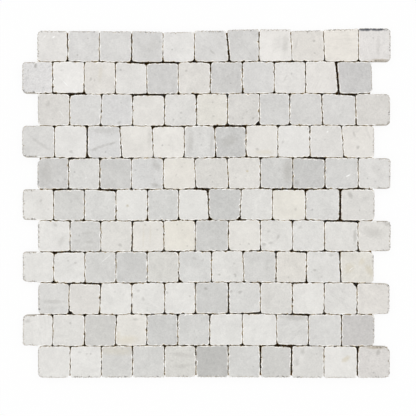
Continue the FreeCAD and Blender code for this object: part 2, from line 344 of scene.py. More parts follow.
GREENEST_STONE = 5.5  # from the left
GREEN_OF_WARMTH = 0.1  # more for each step warmer than the usual
USUAL_WARMTH = 5
LIGHTNESS_SPREAD = 0.6
WARMTH_SPREAD = 0.07  # as a share of it


def paint(screen):
    """Screen values from 0 to 255 as the linear colour that a shader takes."""
    share = np.asarray(screen, float) / 255
    return np.where(share <= 0.04045, share / 12.92, ((share + 0.055) / 1.055) ** 2.4)


def shade_of(place, draw):
    """The plain colour of a stone and the strength of its grain, by the slab that it came from. Upper and
    outer stones have a little less green in them."""
    slab = next((name for name, places in STONES_OF.items() if place in places), "pale")
    lightness, warmth, pinkness, grain = SLABS[slab]
    lightness += LIGHTNESS_SPREAD * draw.normal()
    warmth *= 1 + WARMTH_SPREAD * draw.normal()
    course, stone = place
    green = np.interp(course, GREEN_COURSES, GREEN) - pinkness
    green -= GREEN_SIDES * (stone / GREENEST_STONE - 1) ** 2
    green += GREEN_OF_WARMTH * (warmth - USUAL_WARMTH)
    return paint([lightness - green + warmth / 2, lightness, lightness - green - warmth / 2]), grain


# Marks in single stones
# Some stones have marks that stand out: a grey spot, band or vein of other minerals, a rusty tan patch, a
# broken rim, painted as a band of painted shade where its side slopes, or a white scratch or bruise from the
# tumbler. Each is (across, up, length, width) in mm from the stone's middle, turn in degrees, colour in screen
# values, and strength. A stone has four at the most.
# The last colour here is dark stone with the painted shadow of a broken top edge.
GREY, TAN, WHITE, SLATE_AND_SHADOW = (160, 157, 151), (203, 191, 160), (252, 252, 250), (84, 85, 92)
BROKEN_SIDE_SHADE = (182, 173, 158)  # the broken side of a stone whose rim has come off, in painted shade
MARKS = {
    (1, 1): [(1.2, 7.8, 3.4, 1.4, 35, WHITE, 0.9), (-6.5, 8.4, 5, 1.6, 50, WHITE, 0.4)],
    (1, 2): [(-5.4, -7.8, 2.4, 2.2, 0, GREY, 0.5), (3.8, 6.6, 2.2, 1.8, 0, GREY, 0.4)],
    (1, 4): [(5, 3, 16, 8, 70, GREY, 0.12)],
    (1, 5): [(-5.6, -2.6, 2.2, 2, 0, GREY, 0.45)],
    (1, 6): [(1, -5, 7, 2.4, -35, GREY, 0.35), (9.5, 8.5, 2.4, 2, 0, GREY, 0.35)],
    (1, 8): [(8.6, -1.5, 11, 6, 85, GREY, 0.24), (9, 5, 12, 6, 85, GREY, 0.2)],
    (1, 9): [(5.6, 4.1, 2.8, 2.6, 0, GREY, 0.5), (6, -6.5, 2.6, 2.2, 0, GREY, 0.4),
             (-10, 1, 18, 3, 75, GREY, 0.15)],
    (1, 11): [(-8, 13.2, 18, 3.4, 0, SLATE_AND_SHADOW, 1), (3, 13.2, 18, 3.4, 0, SLATE_AND_SHADOW, 1),
              (3, -1, 22, 4, 88, GREY, 0.2), (4, -13.4, 20, 2.6, 0, BROKEN_SIDE_SHADE, 0.8)],
    (2, 1): [(-1.5, 10.4, 5, 2.6, 75, GREY, 0.7), (-8, 6, 3, 1.6, 80, GREY, 0.3)],
    (2, 2): [(-2.4, -5.5, 9, 0.9, -45, WHITE, 0.8), (-6.2, 6.1, 2.2, 2, 0, GREY, 0.3)],
    (2, 3): [(-7.8, -1.1, 4, 2.4, 80, GREY, 0.45), (-4.6, -1.9, 2.8, 2, 70, GREY, 0.3),
             (0.5, 4, 16, 5, 85, TAN, 0.15)],
    (2, 4): [(-8.9, 7.6, 2.4, 2.2, 0, GREY, 0.5)],
    (2, 6): [(-7, 6.3, 3.2, 2.6, 20, GREY, 0.45), (8.7, -6, 2, 1.8, 0, GREY, 0.3)],
    (2, 7): [(1.3, 1.4, 2, 1.6, 0, GREY, 0.4)],
    (2, 9): [(1.2, 3.5, 2.6, 1.8, 30, GREY, 0.4), (-4, 0, 8, 1.8, 60, GREY, 0.2)],
    (3, 1): [(-4.9, 4.7, 7, 5, 40, GREY, 0.22), (7, -3.5, 8, 1, -55, WHITE, 0.4)],
    (3, 2): [(2, -7, 20, 0.8, 2, WHITE, 0.15)],
    (3, 3): [(1.8, -11, 4, 3, 20, GREY, 0.4), (3.5, 6.4, 2.2, 1.8, 0, GREY, 0.3)],
    (3, 5): [(0.7, -2.3, 2.8, 2.2, 0, GREY, 0.35), (-6.2, -8.3, 2.2, 1.8, 0, GREY, 0.35)],
    (3, 6): [(1.2, -5.6, 3.2, 2.4, 0, GREY, 0.35)],
    (3, 7): [(3, -2.3, 2.2, 1.8, 0, GREY, 0.4), (8.5, -8, 4, 2.4, 40, GREY, 0.45),
             (-0.5, -8, 2.2, 1.8, 0, GREY, 0.35)],
    (4, 1): [(2, -2, 28, 3, -35, GREY, 0.22)],
    (4, 2): [(0.4, -8.6, 4, 3.2, 0, GREY, 0.35)],
    (4, 3): [(0, -3, 27, 3, 17, GREY, 0.3), (0, 10, 26, 6, 0, GREY, 0.25),
             (-8, -6.5, 7, 3, 15, GREY, 0.3), (7, -1, 7, 2.4, 15, GREY, 0.3)],
    (4, 4): [(11, 4, 18, 6, 85, GREY, 0.15)],
    (4, 6): [(-8, 0, 24, 7, 87, GREY, 0.28), (10.5, 0, 26, 4, 86, GREY, 0.25)],
    (4, 7): [(-1, 1, 18, 11, 20, GREY, 0.32)],
    (4, 8): [(-4.2, -7, 4.4, 2.6, -20, GREY, 0.4), (2, -9.5, 20, 5, 0, TAN, 0.25)],
    (4, 9): [(-9.7, -0.5, 3.4, 2.8, 60, GREY, 0.3)],
    (4, 10): [(1, 8.6, 2.4, 1.6, 20, WHITE, 0.8)],
    (4, 11): [(-0.4, -5.2, 4, 2.8, 60, GREY, 0.5), (-3.7, 6.4, 6, 2.6, -70, GREY, 0.35),
              (8, 8, 18, 3, -70, GREY, 0.15)],
    (5, 1): [(-6, 0, 28, 15, 88, GREY, 0.22)],
    (5, 2): [(1.4, -3.5, 2.6, 1.2, 60, WHITE, 0.5)],
    (5, 4): [(8, 7, 15, 6, -60, GREY, 0.3), (6.6, -9.8, 9, 4.4, -12, GREY, 0.4),
             (-10.5, 3, 2.4, 2, 0, GREY, 0.4)],
    (5, 5): [(-2.8, -1.5, 3.4, 1.6, 60, GREY, 0.3)],
    (5, 6): [(-1.2, -2, 2.8, 1.6, 10, GREY, 0.4)],
    (5, 7): [(2.8, 1.4, 2.8, 2.2, 0, TAN, 0.7), (-7, -4.3, 2.4, 1.8, 0, GREY, 0.35)],
    (5, 8): [(10, 2, 26, 11, 86, GREY, 0.4)],
    (5, 9): [(-10, -7.8, 6, 5, 0, GREY, 0.38)],
    (5, 10): [(5.8, -2, 4.6, 1.4, 25, WHITE, 0.9)],
    (5, 11): [(3, 2, 18, 9, -35, GREY, 0.15)],
    (6, 1): [(2.6, 3.4, 3.6, 2.4, 60, GREY, 0.35), (9, -4, 3, 2, 40, GREY, 0.2)],
    (6, 4): [(-3.6, -0.6, 2.6, 2.2, -60, GREY, 0.4), (-3.6, -0.6, 3.4, 3, 0, TAN, 0.4)],
    (6, 9): [(5.6, -3.8, 3.4, 2.8, 0, GREY, 0.3)],
    (6, 11): [(-6.8, 8.8, 8, 5, -70, GREY, 0.45)],
    (7, 1): [(1.2, 9.7, 5, 3.2, -30, GREY, 0.3), (7, -4, 12, 6, 60, GREY, 0.2)],
    (7, 2): [(2, 3, 16, 3, 4, GREY, 0.2), (-7, -4, 7, 4, 0, GREY, 0.18),
             (4, -5, 10, 3.4, 0, GREY, 0.27), (3, -10, 16, 4, 0, GREY, 0.15)],
    (7, 3): [(3.3, -7.6, 5, 3.2, -35, GREY, 0.4)],
    (7, 4): [(-4, 0, 25, 2, 88, TAN, 0.14), (2, 2, 20, 1.8, 88, TAN, 0.14),
             (-2.4, 9.8, 2.6, 2.2, 0, GREY, 0.3), (8, 5.5, 2.8, 2, 0, GREY, 0.3)],
    (7, 8): [(-6.4, 3.8, 4.4, 2.8, 30, GREY, 0.35), (1.4, -1.4, 5, 2.8, 60, GREY, 0.35),
             (-10.8, -7.5, 4.4, 3.4, 0, GREY, 0.45), (-5, -6.4, 4.4, 3, 0, GREY, 0.35)],
    (7, 9): [(-7.1, 7.2, 4.4, 3.2, 0, GREY, 0.3)],
    (7, 10): [(12, 0, 14, 4, 88, GREY, 0.45)],
    (7, 11): [(-1, 3.6, 22, 12, -10, GREY, 0.28), (10.5, 10.5, 6, 4, -45, GREY, 0.4)],
    (8, 2): [(5.2, 4, 3, 2.2, 30, GREY, 0.35), (-1.2, 6, 2.4, 2, 0, GREY, 0.35)],
    (8, 3): [(5, 8, 15, 0.7, 41, WHITE, 0.55)],
    (8, 6): [(-0.5, 7.1, 6.5, 3, -15, GREY, 0.3), (6.5, 5.5, 4.4, 2.8, 40, GREY, 0.25)],
    (8, 7): [(-7.1, -6.8, 3, 2.4, 0, GREY, 0.5), (6.6, -6.8, 3, 2.2, 0, GREY, 0.45),
             (5.7, 2.8, 2.4, 2, 0, GREY, 0.3)],
    (8, 8): [(6.4, 0, 24, 3, 86, GREY, 0.12)],
    (8, 10): [(-7.4, -2.4, 3.8, 2.8, 0, GREY, 0.4), (6.8, 10.6, 5.4, 2.8, 0, GREY, 0.35),
              (-1.5, -8, 3.4, 2.4, 0, GREY, 0.3)],
    (8, 11): [(-7, -1, 12, 9, 60, TAN, 0.3), (4, 4.9, 8, 6, 60, TAN, 0.3),
              (10.8, -3, 14, 7, -60, TAN, 0.32), (-5.3, -1.6, 5.5, 0.9, 38, WHITE, 0.6)],
    (9, 1): [(0, -2.6, 28, 4.4, -2, GREY, 0.27), (-1, -8.4, 26, 4, 3, GREY, 0.12)],
    (9, 4): [(-8.7, 6.6, 3.6, 2.8, 0, GREY, 0.35), (-4.4, -0.6, 3.4, 4.4, 20, GREY, 0.3)],
    (9, 5): [(-11.3, 4.8, 3.6, 3, 0, GREY, 0.35), (8.4, 1.6, 2.6, 2.2, 0, GREY, 0.35)],
    (9, 6): [(-5.2, 8.2, 3.2, 2.6, -30, GREY, 0.6)],
    (9, 7): [(-3.8, 4.8, 4.8, 3.4, 20, GREY, 0.5), (-11.4, 5.6, 3.6, 3, 0, GREY, 0.45)],
    (9, 8): [(-8, 0, 24, 10, 86, GREY, 0.15)],
    (10, 1): [(-8.4, 8, 6, 4.4, 0, GREY, 0.35), (3.5, 2.5, 2.4, 2, 0, GREY, 0.2)],
    (10, 2): [(1.5, 6.2, 3, 2.4, 80, GREY, 0.35)],
    (10, 4): [(-4, -8.5, 24, 9, 5, TAN, 0.3), (3.5, 9.5, 6, 3, 0, GREY, 0.3),
              (-11, -4, 4, 9, 0, TAN, 0.25)],
    (10, 9): [(2, 11, 28, 7, -6, GREY, 0.35)],
    (11, 2): [(1, 7.2, 2.8, 2.2, 0, GREY, 0.35), (4.2, 7.2, 2.6, 2.2, 0, GREY, 0.35),
              (-5.6, 8.6, 4, 2.4, 0, GREY, 0.25)],
    (11, 3): [(0, 10, 42, 10, -3, TAN, 0.25)],
    (11, 5): [(2, 6, 26, 5, -5, GREY, 0.24), (1, -3.5, 24, 4, 4, GREY, 0.22),
              (-7, 1, 4, 3, 0, GREY, 0.25)],
    (11, 9): [(-4.6, 9, 7, 4.6, 80, GREY, 0.35), (-9.8, 0, 8, 5, 80, GREY, 0.3)],
    (11, 10): [(4.9, 2.9, 10, 5, 30, TAN, 0.45)],
    (11, 11): [(3.8, 8.9, 6, 4, 75, GREY, 0.5), (1, 13, 20, 3.4, -2, BROKEN_SIDE_SHADE, 0.9)],
}
MARKS_EACH = 4
NO_MARK = (0, 0, 1, 1, 0, GREY, 0)
MARK_DEPTH = 3  # mm below the face at which a mark has faded


def marks_at(place, local, top):
    """What a stone's points carry for each of its marks: where in the mark each point lies, the mark's colour
    and its strength. The edge of a mark is at a length of 1: a point's place from the mark's middle, turned
    back and divided by half the length and width."""
    values = {}
    marks = MARKS.get(place, []) + [NO_MARK] * MARKS_EACH
    for number, (across, up, length, width, turn, colour, strength) in enumerate(marks[:MARKS_EACH]):
        turned = (local[:, 0] - across + 1j * (local[:, 1] - up)) * np.exp(-1j * math.radians(turn))
        inside = [turned.real * 2 / length, turned.imag * 2 / width, (local[:, 2] - top) / MARK_DEPTH]
        values[f"mark_place_{number}"] = np.stack(inside, axis=-1)
        values[f"mark_colour_{number}"] = np.broadcast_to(paint(colour), local.shape)
        values[f"mark_strength_{number}"] = np.full(len(local), float(strength))
    return values


# Finish of the marble
# Matt tumbled marble: soft clouds and thin veins that run another way in each stone, mottled crystals, small
# grey spots, rims white in patches from bruises with a painted highlight, tan dust of the grit on the split
# sides, darkened in the depth of a joint as painted shade and paler on open sides as painted light, patches
# of painted shade on open rims, and dark flecks of dirt and painted shade where the rim of the sheet is
# knocked. It follows each point's place in the slab, in mm.
# The first colour is the white of rim bruises with a painted highlight, the second painted shade on the rims of
# open sides, and the third dark flecks of dirt in chips with their painted shade.
RIM_WHITE_AND_HIGHLIGHT, OPEN_RIM_SHADE, SPECK_DIRT_AND_SHADE = (253, 252, 249), (182, 173, 158), (146, 138, 124)
# Tan dust on the sides, and that dust darkened as painted shade in the depth of a joint.
SIDE_DUST, DEEP_DUST_AND_SHADE = (188, 166, 122), (100, 66, 26)
OPEN_DUST_AND_LIGHT, OPEN_STONE_AND_LIGHT = (192, 181, 162), (213, 208, 198)  # on the open sides of the sheet, in patches, painted paler as painted light
CLOUDS, VEINS, SPOTS = 0.25, -0.13, -0.22  # share of the stone's lightness that they add
GRAINS, MOTTLE, SPARKLE = 0.29, 0.2, 0.06
VEIN_SCALES = (0.05, 0.34, 0.2)  # long the first way and fine across it
RIM_BAND = ((-1, -0.5), (0.3, 0.7))  # mm past the edge over which the white of a bruise and its painted highlight comes and goes
# mm past the edge over which the flecks of dirt and painted shade in chips come and go
SPECK_BAND = ((-0.9, 0.1), (1.5, 2.5))
OPEN_RIM_SHADE_FROM, DUST_FROM = (-0.6, 0.1), (-0.22, 0.25)  # mm past the edge over which the painted shade of open rims, and the dust, come
SIDE_FROM, BACK_FROM = (0.2, 0.8), (10, 12)
MOST_DUST = 0.92  # share of the stone that dust hides
OPEN_SIDE_DUST, BACK_DUST = 0.5, 0.35  # share of that
DUST_AND_SHADE_LINE = (0.3, 1.8)  # mm past the edge from where the dust is pale to where painted shade darkens it
RAGGED_EDGE, RAGGED_MARK = 0.9, 0.9  # in mm, and in half lengths of a mark
MARK_EDGE = (1.2, 0.25)  # half lengths from its middle over which a mark comes
PITS, HACKLES = 0.5, 9  # height of pits and of hackles on split sides, as a share of the grain's
RELIEF = 0.12  # mm between the heights and the hollows of the finish


def node(tree, kind, inputs=None, **settings):
    """A shader node with its settings and inputs. An input given as another node's socket is linked to it."""
    made = tree.nodes.new("ShaderNode" + kind)
    for name, value in settings.items():
        setattr(made, name, value)
    for name, value in (inputs or {}).items():
        if isinstance(value, bpy.types.NodeSocket):
            tree.links.new(value, made.inputs[name])
        else:
            made.inputs[name].default_value = value
    return made


def sums(tree, operation, first, second, third=0):
    """One step of arithmetic on numbers or sockets."""
    return node(tree, "Math", {0: first, 1: second, 2: third}, operation=operation).outputs[0]


def times(tree, first, second, plus=0):
    """The first times the second, plus the third."""
    return sums(tree, "MULTIPLY_ADD", first, second, plus)


def ramp(tree, value, start, end, low=0, high=1):
    """A soft step from low at start to high at end."""
    inputs = {"Value": value, "From Min": start, "From Max": end, "To Min": low, "To Max": high}
    return node(tree, "MapRange", inputs, interpolation_type="SMOOTHSTEP").outputs["Result"]


def band(tree, value, comes, goes):
    """1 between two soft steps, and 0 before and after them."""
    return times(tree, ramp(tree, value, *comes), ramp(tree, value, *goes, 1, 0))


def layer(tree, share, below, above):
    """The colour above laid over the colour below by that share."""
    mixed = node(tree, "Mix", {0: share, 6: below, 7: above}, data_type="RGBA")
    return mixed.outputs[2]


def noise(tree, place, scale, detail=2, distortion=0):
    """Chance values of about -0.5 to 0.5, in patches about 1 / scale across."""
    inputs = {"Vector": place, "Scale": scale, "Detail": detail, "Distortion": distortion}
    return sums(tree, "SUBTRACT", node(tree, "TexNoise", inputs).outputs["Fac"], 0.5)


def stretched(tree, place, scales):
    """The place, with each of its three numbers times its own scale."""
    return node(tree, "VectorMath", {0: place, 1: scales}, operation="MULTIPLY").outputs[0]


def bumps(tree, height, strength, depth):
    """Fine relief of that depth in mm."""
    inputs = {"Height": height, "Strength": strength, "Distance": depth * MM}
    return node(tree, "Bump", inputs).outputs["Normal"]


def carried_value(tree, name, output="Fac"):
    """What carry() gave the points under that name."""
    return node(tree, "Attribute", attribute_name=name).outputs[output]


def full_colour(screen):
    """Screen values as the four numbers of a colour socket."""
    return (*paint(screen), 1)


def new_material(name):
    """A material with nothing in it yet, and its tree."""
    material = bpy.data.materials.new(name)
    material.use_nodes = True
    material.node_tree.nodes.clear()
    return material, material.node_tree


def surface_of(tree, inputs):
    """Gives the material an everyday surface with these inputs."""
    node(tree, "OutputMaterial", {"Surface": node(tree, "BsdfPrincipled", inputs).outputs[0]})


def clouded(tree, place, grains, ragged):
    """The stone's own shade times (1 + clouds + grain - veins - spots)."""
    along_veins = stretched(tree, place, VEIN_SCALES)
    clouds = noise(tree, place, 0.07, 3, 0.6)
    streaks = ramp(tree, noise(tree, along_veins, 1, 4, 1.2), 0, 0.2)
    mottle = noise(tree, place, 0.3, 2, 0.4)
    crystals = node(tree, "TexVoronoi", {"Vector": place, "Scale": 1.3}).outputs["Color"]
    sparkle = sums(tree, "SUBTRACT", node(tree, "SeparateColor", {0: crystals}).outputs[0], 0.5)
    fine = times(tree, grains, GRAINS)
    fine = times(tree, mottle, MOTTLE, fine)
    fine = times(tree, sparkle, SPARKLE, fine)
    level = times(tree, clouds, CLOUDS, 1)
    level = times(tree, fine, carried_value(tree, "grain"), level)
    veins = times(tree, streaks, carried_value(tree, "veining"))
    level = times(tree, veins, VEINS, level)
    cells = node(tree, "TexVoronoi", {"Vector": place, "Scale": 0.16})
    from_spot = times(tree, ragged, 0.12, cells.outputs["Distance"])
    spotted_cell = ramp(tree, node(tree, "SeparateColor", {0: cells.outputs["Color"]}).outputs[1], 0.55, 0.9)
    in_spot = times(tree, ramp(tree, from_spot, 0.2, 0.06), spotted_cell)
    spotted = times(tree, in_spot, carried_value(tree, "spotting"))
    level = times(tree, spotted, SPOTS, level)
    shade = carried_value(tree, "shade", "Vector")
    return node(tree, "VectorMath", {0: shade, "Scale": level}, operation="SCALE").outputs[0]


def rims_bruised_highlit_and_shaded(tree, colour, place, edge, open_side):
    """Over the colour: white of bruises and a painted highlight on rims, painted shade in patches on open ones.
    """
    bruised_and_highlit = times(tree, band(tree, edge, *RIM_BAND), carried_value(tree, "bruising_and_highlight"))
    colour = layer(tree, bruised_and_highlit, colour, full_colour(RIM_WHITE_AND_HIGHLIGHT))
    shaded_open_rim = times(tree, ramp(tree, edge, *OPEN_RIM_SHADE_FROM), open_side)
    patches = ramp(tree, noise(tree, place, 0.6, 2), -0.15, 0.15, 0.15, 0.9)
    return layer(tree, times(tree, shaded_open_rim, patches), colour, full_colour(OPEN_RIM_SHADE))


def marked(tree, colour, ragged):
    """Over the colour, the stone's own marks, each with a soft and ragged edge."""
    for number in range(MARKS_EACH):
        mark_place = carried_value(tree, f"mark_place_{number}", "Vector")
        from_mark = node(tree, "VectorMath", {0: mark_place}, operation="LENGTH").outputs["Value"]
        in_mark = ramp(tree, times(tree, ragged, RAGGED_MARK, from_mark), *MARK_EDGE)
        share = times(tree, in_mark, carried_value(tree, f"mark_strength_{number}"))
        colour = layer(tree, share, colour, carried_value(tree, f"mark_colour_{number}", "Vector"))
    return colour


def dusted_shaded_and_lit(tree, colour, place, edge, past_edge, open_side):
    """Over the colour, dust from the edge down, darkened by painted shade in the depth of a joint, and made
    pale and patchy on open sides by painted light. There is half as much on those, and little on the back. Then
    come
    the dark flecks on knocked rims: dirt in small chips with their painted shade."""
    smears = noise(tree, place, 0.22, 3)
    dust_shade_and_light_cover = ramp(tree, sums(tree, "ADD", smears, edge), *DUST_FROM)
    dust_shade_and_light_cover = times(tree, dust_shade_and_light_cover, times(tree, open_side, OPEN_SIDE_DUST - 1, 1))
    dust_shade_and_light_cover = times(tree, dust_shade_and_light_cover, ramp(tree, past_edge, *BACK_FROM, 1, BACK_DUST))
    dust_shade_and_light_cover = times(tree, dust_shade_and_light_cover, MOST_DUST)
    joint_dust_and_shade = layer(tree, ramp(tree, past_edge, *DUST_AND_SHADE_LINE), full_colour(SIDE_DUST), full_colour(DEEP_DUST_AND_SHADE))
    in_patches = ramp(tree, smears, -0.15, 0.15)
    open_dust_and_light = layer(tree, in_patches, full_colour(OPEN_DUST_AND_LIGHT), full_colour(OPEN_STONE_AND_LIGHT))
    dust = layer(tree, carried_value(tree, "lit_side"), joint_dust_and_shade, open_dust_and_light)
    colour = layer(tree, dust_shade_and_light_cover, colour, dust)
    dirt_and_shade_specks = ramp(tree, noise(tree, place, 0.7, 2), 0.08, 0.2)
    dirt_and_shade_specks = times(tree, dirt_and_shade_specks, band(tree, past_edge, *SPECK_BAND))
    dirt_and_shade_specks = times(tree, dirt_and_shade_specks, carried_value(tree, "knocks"))
    return layer(tree, dirt_and_shade_specks, colour, full_colour(SPECK_DIRT_AND_SHADE))


def marble_relief(tree, place, grains, past_edge):
    """Pits and crystal grains as a bump, and coarse hackles on the split sides."""
    pits = ramp(tree, noise(tree, place, 1.6, 2), -0.32, -0.12)
    height = times(tree, pits, PITS, grains)
    rough_side = ramp(tree, past_edge, *SIDE_FROM, 0, HACKLES)
    height = times(tree, noise(tree, place, 0.45, 3), rough_side, height)
    return bumps(tree, height, 0.5, RELIEF)


def marble():
    """Clouded stone with rims, marks and dust over it, and painted highlight, shade and light on rims and
    sides.
    The edge is where the face ends, made ragged.
    """
    material, tree = new_material("tumbled_marble")
    place = carried_value(tree, "slab_place", "Vector")
    past_edge = carried_value(tree, "past_edge")
    open_side = carried_value(tree, "open_side")
    grains = noise(tree, place, 0.8, 3)
    ragged = noise(tree, place, 0.6, 3)
    edge = times(tree, ragged, RAGGED_EDGE, past_edge)
    colour = clouded(tree, place, grains, ragged)
    colour = rims_bruised_highlit_and_shaded(tree, colour, place, edge, open_side)
    colour = marked(tree, colour, ragged)
    colour = dusted_shaded_and_lit(tree, colour, place, edge, past_edge, open_side)
    surface_of(tree, {
        "Base Color": colour,
        "Roughness": times(tree, grains, 0.25, 0.62),
        "Specular IOR Level": 0.35,
        "Normal": marble_relief(tree, place, grains, past_edge),
    })
    return material


# Courses of stones
# Eleven stones to a course, and each stone comes from another place in the slab, so its clouds and veins are
# its own. A stone at the rim of the sheet is knocked more on its open side. A course stands for its packed
# solids.
VEINING = ([0, 0.2, 0.45], [0.5, 0.35, 0.15])  # strengths, and the share of the stones that have each
SPOTTING = ([0, 0.5, 1], [0.35, 0.35, 0.3])
# The white of bruises on the rims, with a painted highlight along it:
BRUISE_AND_HIGHLIGHT_WAVES = (2, 24)
BRUISING_AND_HIGHLIGHT = (0.05, 1)  # least and most
OPEN_BRUISING_AND_HIGHLIGHT = 0.4  # share of it that is left on open sides
KNOCKS = (0.25, 0.85)  # strength between stones and on open sides
SLAB_REACH = 900  # mm


def from_slab(local, draw):
    """Where the points of a stone lie in the slab: turned by chance, and moved by chance."""
    turned = (local[:, 0] + 1j * local[:, 1]) * np.exp(1j * draw.uniform(0, 2 * np.pi))
    return np.stack([turned.real, turned.imag, local[:, 2]], axis=-1) + draw.uniform(0, SLAB_REACH, 3)


def down_the_stone(around, rows):
    """A value for each point round the stone, carried on down all its rows, and 0 at its two poles."""
    return np.append(np.tile(around, rows), [0, 0])


tumbled_marble = marble()
placed_stones = []
course_blocks = [blocks_in(name) for name in course_nodes]
outlines, draws, shades = {}, {}, {}
for course, blocks in enumerate(course_blocks, start=1):
    for stone, block in enumerate(blocks, start=1):
        draws[course, stone] = np.random.default_rng([SHEET_SEED, course, stone])
        shades[course, stone] = shade_of((course, stone), draws[course, stone])
        outlines[course, stone] = tumbled_outline(block, draws[course, stone])

for course, node_name in enumerate(course_nodes, start=1):
    skins, ends, carried = [], [], []
    for stone, block in enumerate(course_blocks[course - 1], start=1):
        place = (course, stone)
        draw, outline = draws[place], outlines[place]
        room = room_round(outline, list(outlines.values()))
        open_side = np.interp(room, NO_NEIGHBOUR, (0, 1))
        points, poles, past_edge = stone_surface(block, outline, room, open_side, draw)
        middle = poles[1]
        placed_stones.append(middle)
        local = np.concatenate([points.reshape(-1, 3), poles]) - [middle[0], middle[1], 0]
        slab_place = from_slab(local, draw)
        veining = draw.choice(VEINING[0], p=VEINING[1])
        spotting = draw.choice(SPOTTING[0], p=SPOTTING[1])
        bruising_and_highlight = np.clip(0.5 + 0.5 * ripple(draw, *BRUISE_AND_HIGHLIGHT_WAVES)[0], *BRUISING_AND_HIGHLIGHT)
        bruising_and_highlight *= 1 - (1 - OPEN_BRUISING_AND_HIGHLIGHT) * open_side
        shade, grain = shades[place]
        rows = len(points)
        skins.append(points)
        ends.append(poles)
        carried.append({
            "past_edge": past_edge,
            "slab_place": slab_place,
            "shade": np.broadcast_to(shade, local.shape),
            "grain": np.full(len(local), grain),
            "veining": np.full(len(local), veining),
            "spotting": np.full(len(local), spotting),
            "open_side": down_the_stone(open_side, rows),
            "lit_side": down_the_stone(np.interp(room, LET_IN_LIGHT, (0, 1)), rows),
            "bruising_and_highlight": down_the_stone(bruising_and_highlight, rows),
            "knocks": down_the_stone(np.interp(open_side, (0, 1), KNOCKS), rows),
            **marks_at(place, local, block[:, 2].max()),
        })
    piece = closed_shapes(f"stones_{course:02d}", np.array(skins), np.array(ends))
    for name in carried[0]:
        carry(piece, name, np.concatenate([values[name] for values in carried]))
    piece.data.materials.append(tumbled_marble)
    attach(piece, BODY)
    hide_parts(node_name)

# Glue dabs
# The net is bonded with dabs of white glue, pressed flat between the backs of the stones and the table. They
# are cloudy and off-white, a little glossy, and the yarns run through them.
DABS = ((-7, -7), (7, -7), (0, 0), (-7, 7), (7, 7))  # mm from a stone's middle
DAB_SHIFT = 1.3  # mm
DAB_RADIUS, DAB_RADIUS_SPREAD = 3.5, 0.5
DAB_AROUND = 12
THICK_GLUE, THIN_GLUE = (233, 231, 222), (214, 210, 196)
DAB_LOBES = ((2, 0.1), (3, 0.06))  # how many round a dab, and share of the radius
DAB_RINGS = ((1, 0.5), (0.86, 0.24), (0.5, 0.08))  # share of the radius, and height over the table in mm
DAB_ENDS = (0.55, 0.05)  # heights of the middle against the stone and of the middle underneath


def dab_surface(middles, draw):
    """Flat domes of glue that hang from the stones. A ring has the radius r (1 + the sum of s cos(n t + a))
    times its share, with n and s from the lobes and a by chance."""
    count = len(middles)
    turns = 2 * np.pi * np.arange(DAB_AROUND) / DAB_AROUND
    radius = DAB_RADIUS + DAB_RADIUS_SPREAD * draw.normal(size=(count, 1)).clip(-1.5, 1.5)
    starts = draw.uniform(0, 2 * np.pi, (2, count, 1))
    lobes = [share * np.cos(waves * turns + start) for (waves, share), start in zip(DAB_LOBES, starts)]
    radius = radius * (1 + sum(lobes))
    shares, heights = np.array(DAB_RINGS).T
    rows = np.empty((count, len(shares), DAB_AROUND, 3))
    rows[..., 0] = middles[:, 0, None, None] + shares[:, None] * (radius * np.cos(turns))[:, None, :]
    rows[..., 1] = middles[:, 1, None, None] + shares[:, None] * (radius * np.sin(turns))[:, None, :]
    rows[..., 2] = heights[:, None]
    poles = np.empty((count, 2, 3))
    poles[..., :2] = middles[:, None, :]
    poles[..., 2] = DAB_ENDS
    return rows, poles


def dried_glue():
    """Off-white glue with cloudier and thinner places, and a faint skin."""
    material, tree = new_material("dried_glue")
    place = node(tree, "TexCoord").outputs["Object"]
    thin = ramp(tree, noise(tree, place, 0.45 / MM, 3, 0.4), -0.2, 0.25)
    skin = noise(tree, place, 1.6 / MM, 2)
    colour = layer(tree, thin, full_colour(THICK_GLUE), full_colour(THIN_GLUE))
    roughness = times(tree, skin, 0.3, 0.38)
    surface_of(tree, {"Base Color": colour, "Roughness": roughness, "Normal": bumps(tree, skin, 0.35, 0.1)})
    return material


dab_draw = np.random.default_rng(SHEET_SEED)
dab_middles = (np.array(placed_stones)[:, None, :2] + np.array(DABS)).reshape(-1, 2)
dab_middles = dab_middles + dab_draw.uniform(-DAB_SHIFT, DAB_SHIFT, dab_middles.shape)
glue_dabs = closed_shapes("glue_dabs", *dab_surface(dab_middles, dab_draw))
glue_dabs.data.materials.append(dried_glue())
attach(glue_dabs, BODY)

# Net on the backs
# An open net of white glass fibre, sized so that it keeps its shape. Flat weft yarns run along the courses.
# The warp yarns run up the sheet as twisted pairs, and one strand goes over and one under the weft at each
# crossing.
NET_PITCH = 5  # mm
NET_MIDDLE = 0.25  # mm over the table
WEFT_HALF_WIDTH, WEFT_HALF_THICKNESS = 0.45, 0.07
WARP_SWING = (0.25, 0.16)  # mm sideways and up
WARP_HALF_WIDTH, WARP_HALF_THICKNESS = 0.18, 0.09
WARP_SAMPLES, WEFT_SAMPLES = 3, 2  # to a pitch
YARN_AROUND = 4
DULL_YARN, BRIGHT_YARN = (196, 192, 180), (232, 230, 222)
FIBRE_SCALES = (0.35, 5, 3.7)  # along the yarn, round it, and from yarn to yarn


def yarn_places(node_name, axis, samples):
    """The places of a layer's yarns across the sheet and their run along it, in mm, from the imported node. A
    run has so many samples to a pitch."""
    points = points_of(node_name)
    sides = np.unique(np.round(points[:, axis], 3))
    start, end = points[:, 1 - axis].min(), points[:, 1 - axis].max()
    run = np.linspace(start, end, round((end - start) / NET_PITCH * samples) + 1)
    return sides.reshape(-1, 2).mean(axis=1), run


